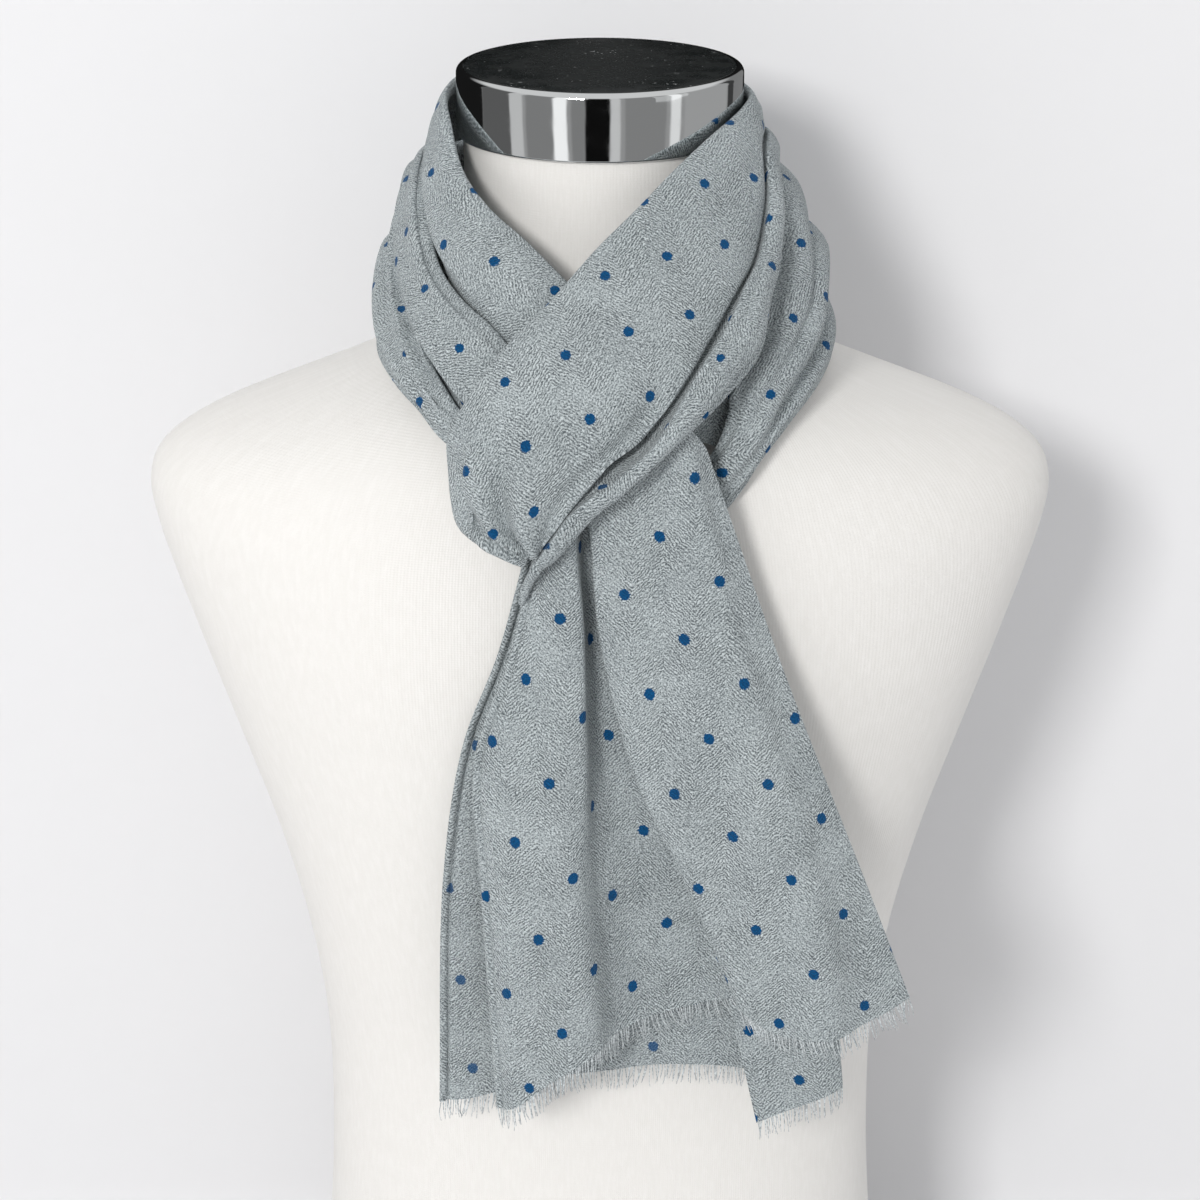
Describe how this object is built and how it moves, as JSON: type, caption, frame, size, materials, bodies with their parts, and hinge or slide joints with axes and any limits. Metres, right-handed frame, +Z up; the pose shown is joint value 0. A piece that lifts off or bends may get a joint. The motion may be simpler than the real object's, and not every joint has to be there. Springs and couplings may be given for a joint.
{
  "type": "wool scarf on a dress form",
  "caption": "Light wool scarf with a dotted weave and short fringe, doubled round the neck of a limbless dress form, its ends drawn through the fold to hang down the front.",
  "frame": {"origin": "centre of the dress form's flat base", "axes": "+Z up, -Y towards the front where the scarf's ends hang, +X to the right of someone who looks at the front"},
  "size_m": [0.429, 0.2734, 0.74],
  "materials": {
    "form_cover": "close cream jersey drawn smooth over the form",
    "ring": "polished",
    "cap": "glossy black",
    "wool": "light twill wool, blue-grey and heathered, with small dark blue dots"
  },
  "bodies": {
    "root": {"form_body": "form_cover", "neck_ring": "ring", "neck_cap": "cap", "neck_inner_left": "wool", "neck_middle_left": "wool", "neck_outer_left": "wool", "front_band": "wool", "band_roll": "wool", "loop_back": "wool", "loop_inner": "wool", "front_tail": "wool", "front_tail_fringe": "wool", "rear_tail": "wool", "rear_tail_fringe": "wool"}
  },
  "joints": []
}
